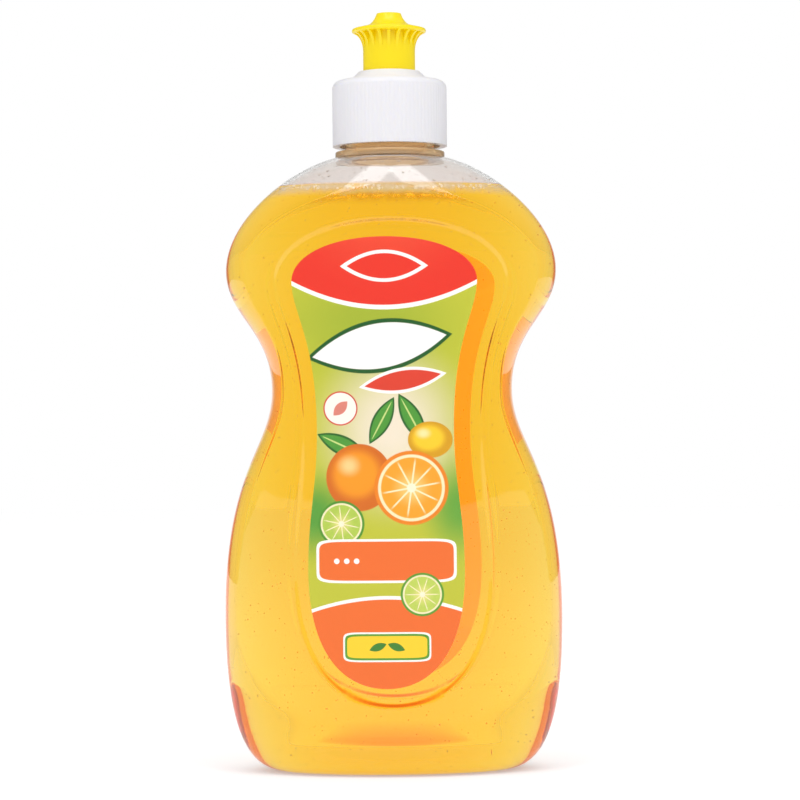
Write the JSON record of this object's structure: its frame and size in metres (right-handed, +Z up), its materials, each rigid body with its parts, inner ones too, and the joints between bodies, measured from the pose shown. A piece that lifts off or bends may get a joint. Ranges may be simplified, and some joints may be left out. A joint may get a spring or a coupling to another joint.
{
  "type": "dish soap bottle",
  "caption": "Clear hourglass bottle of amber dish soap with paper labels, a ribbed screw closure and a pull spout.",
  "frame": {"origin": "centre of the standing plane, on the neck's axis", "axes": "+Z up along the neck's axis, +X to the right seen from the front, the front label faces -Y"},
  "size_m": [0.0972, 0.046, 0.218],
  "materials": {
    "bottle": "clear blown polyester",
    "liquid": "clear amber soap",
    "front_label": "glossy printed film",
    "back_label": "glossy printed film",
    "seal_ring": "closed-cell foam",
    "closure": "moulded white plastic",
    "spout": "moulded yellow plastic"
  },
  "bodies": {
    "bottle_body": {"bottle": "bottle", "liquid": "liquid", "front_label": "front_label", "back_label": "back_label"},
    "seal_body": {"seal_ring": "seal_ring"},
    "closure_body": {"closure": "closure"},
    "spout_body": {"spout": "spout"}
  },
  "joints": [
    {"name": "closure_rise", "type": "slide", "parent": "bottle_body", "child": "seal_body", "axis": [0, 0, 1], "range_m": [0, 0.0064]},
    {"name": "closure_turn", "type": "hinge", "parent": "seal_body", "child": "closure_body", "pos_m": [0, 0, 0.1962], "axis": [0, 0, 1], "range_deg": [0, 540]},
    {"name": "spout_pull", "type": "slide", "parent": "closure_body", "child": "spout_body", "axis": [0, 0, 1], "range_m": [0, 0.005]}
  ],
  "couplings": [
    {"joint": "closure_rise", "follows": "closure_turn", "m_per_rad": 0.0006737}
  ]
}
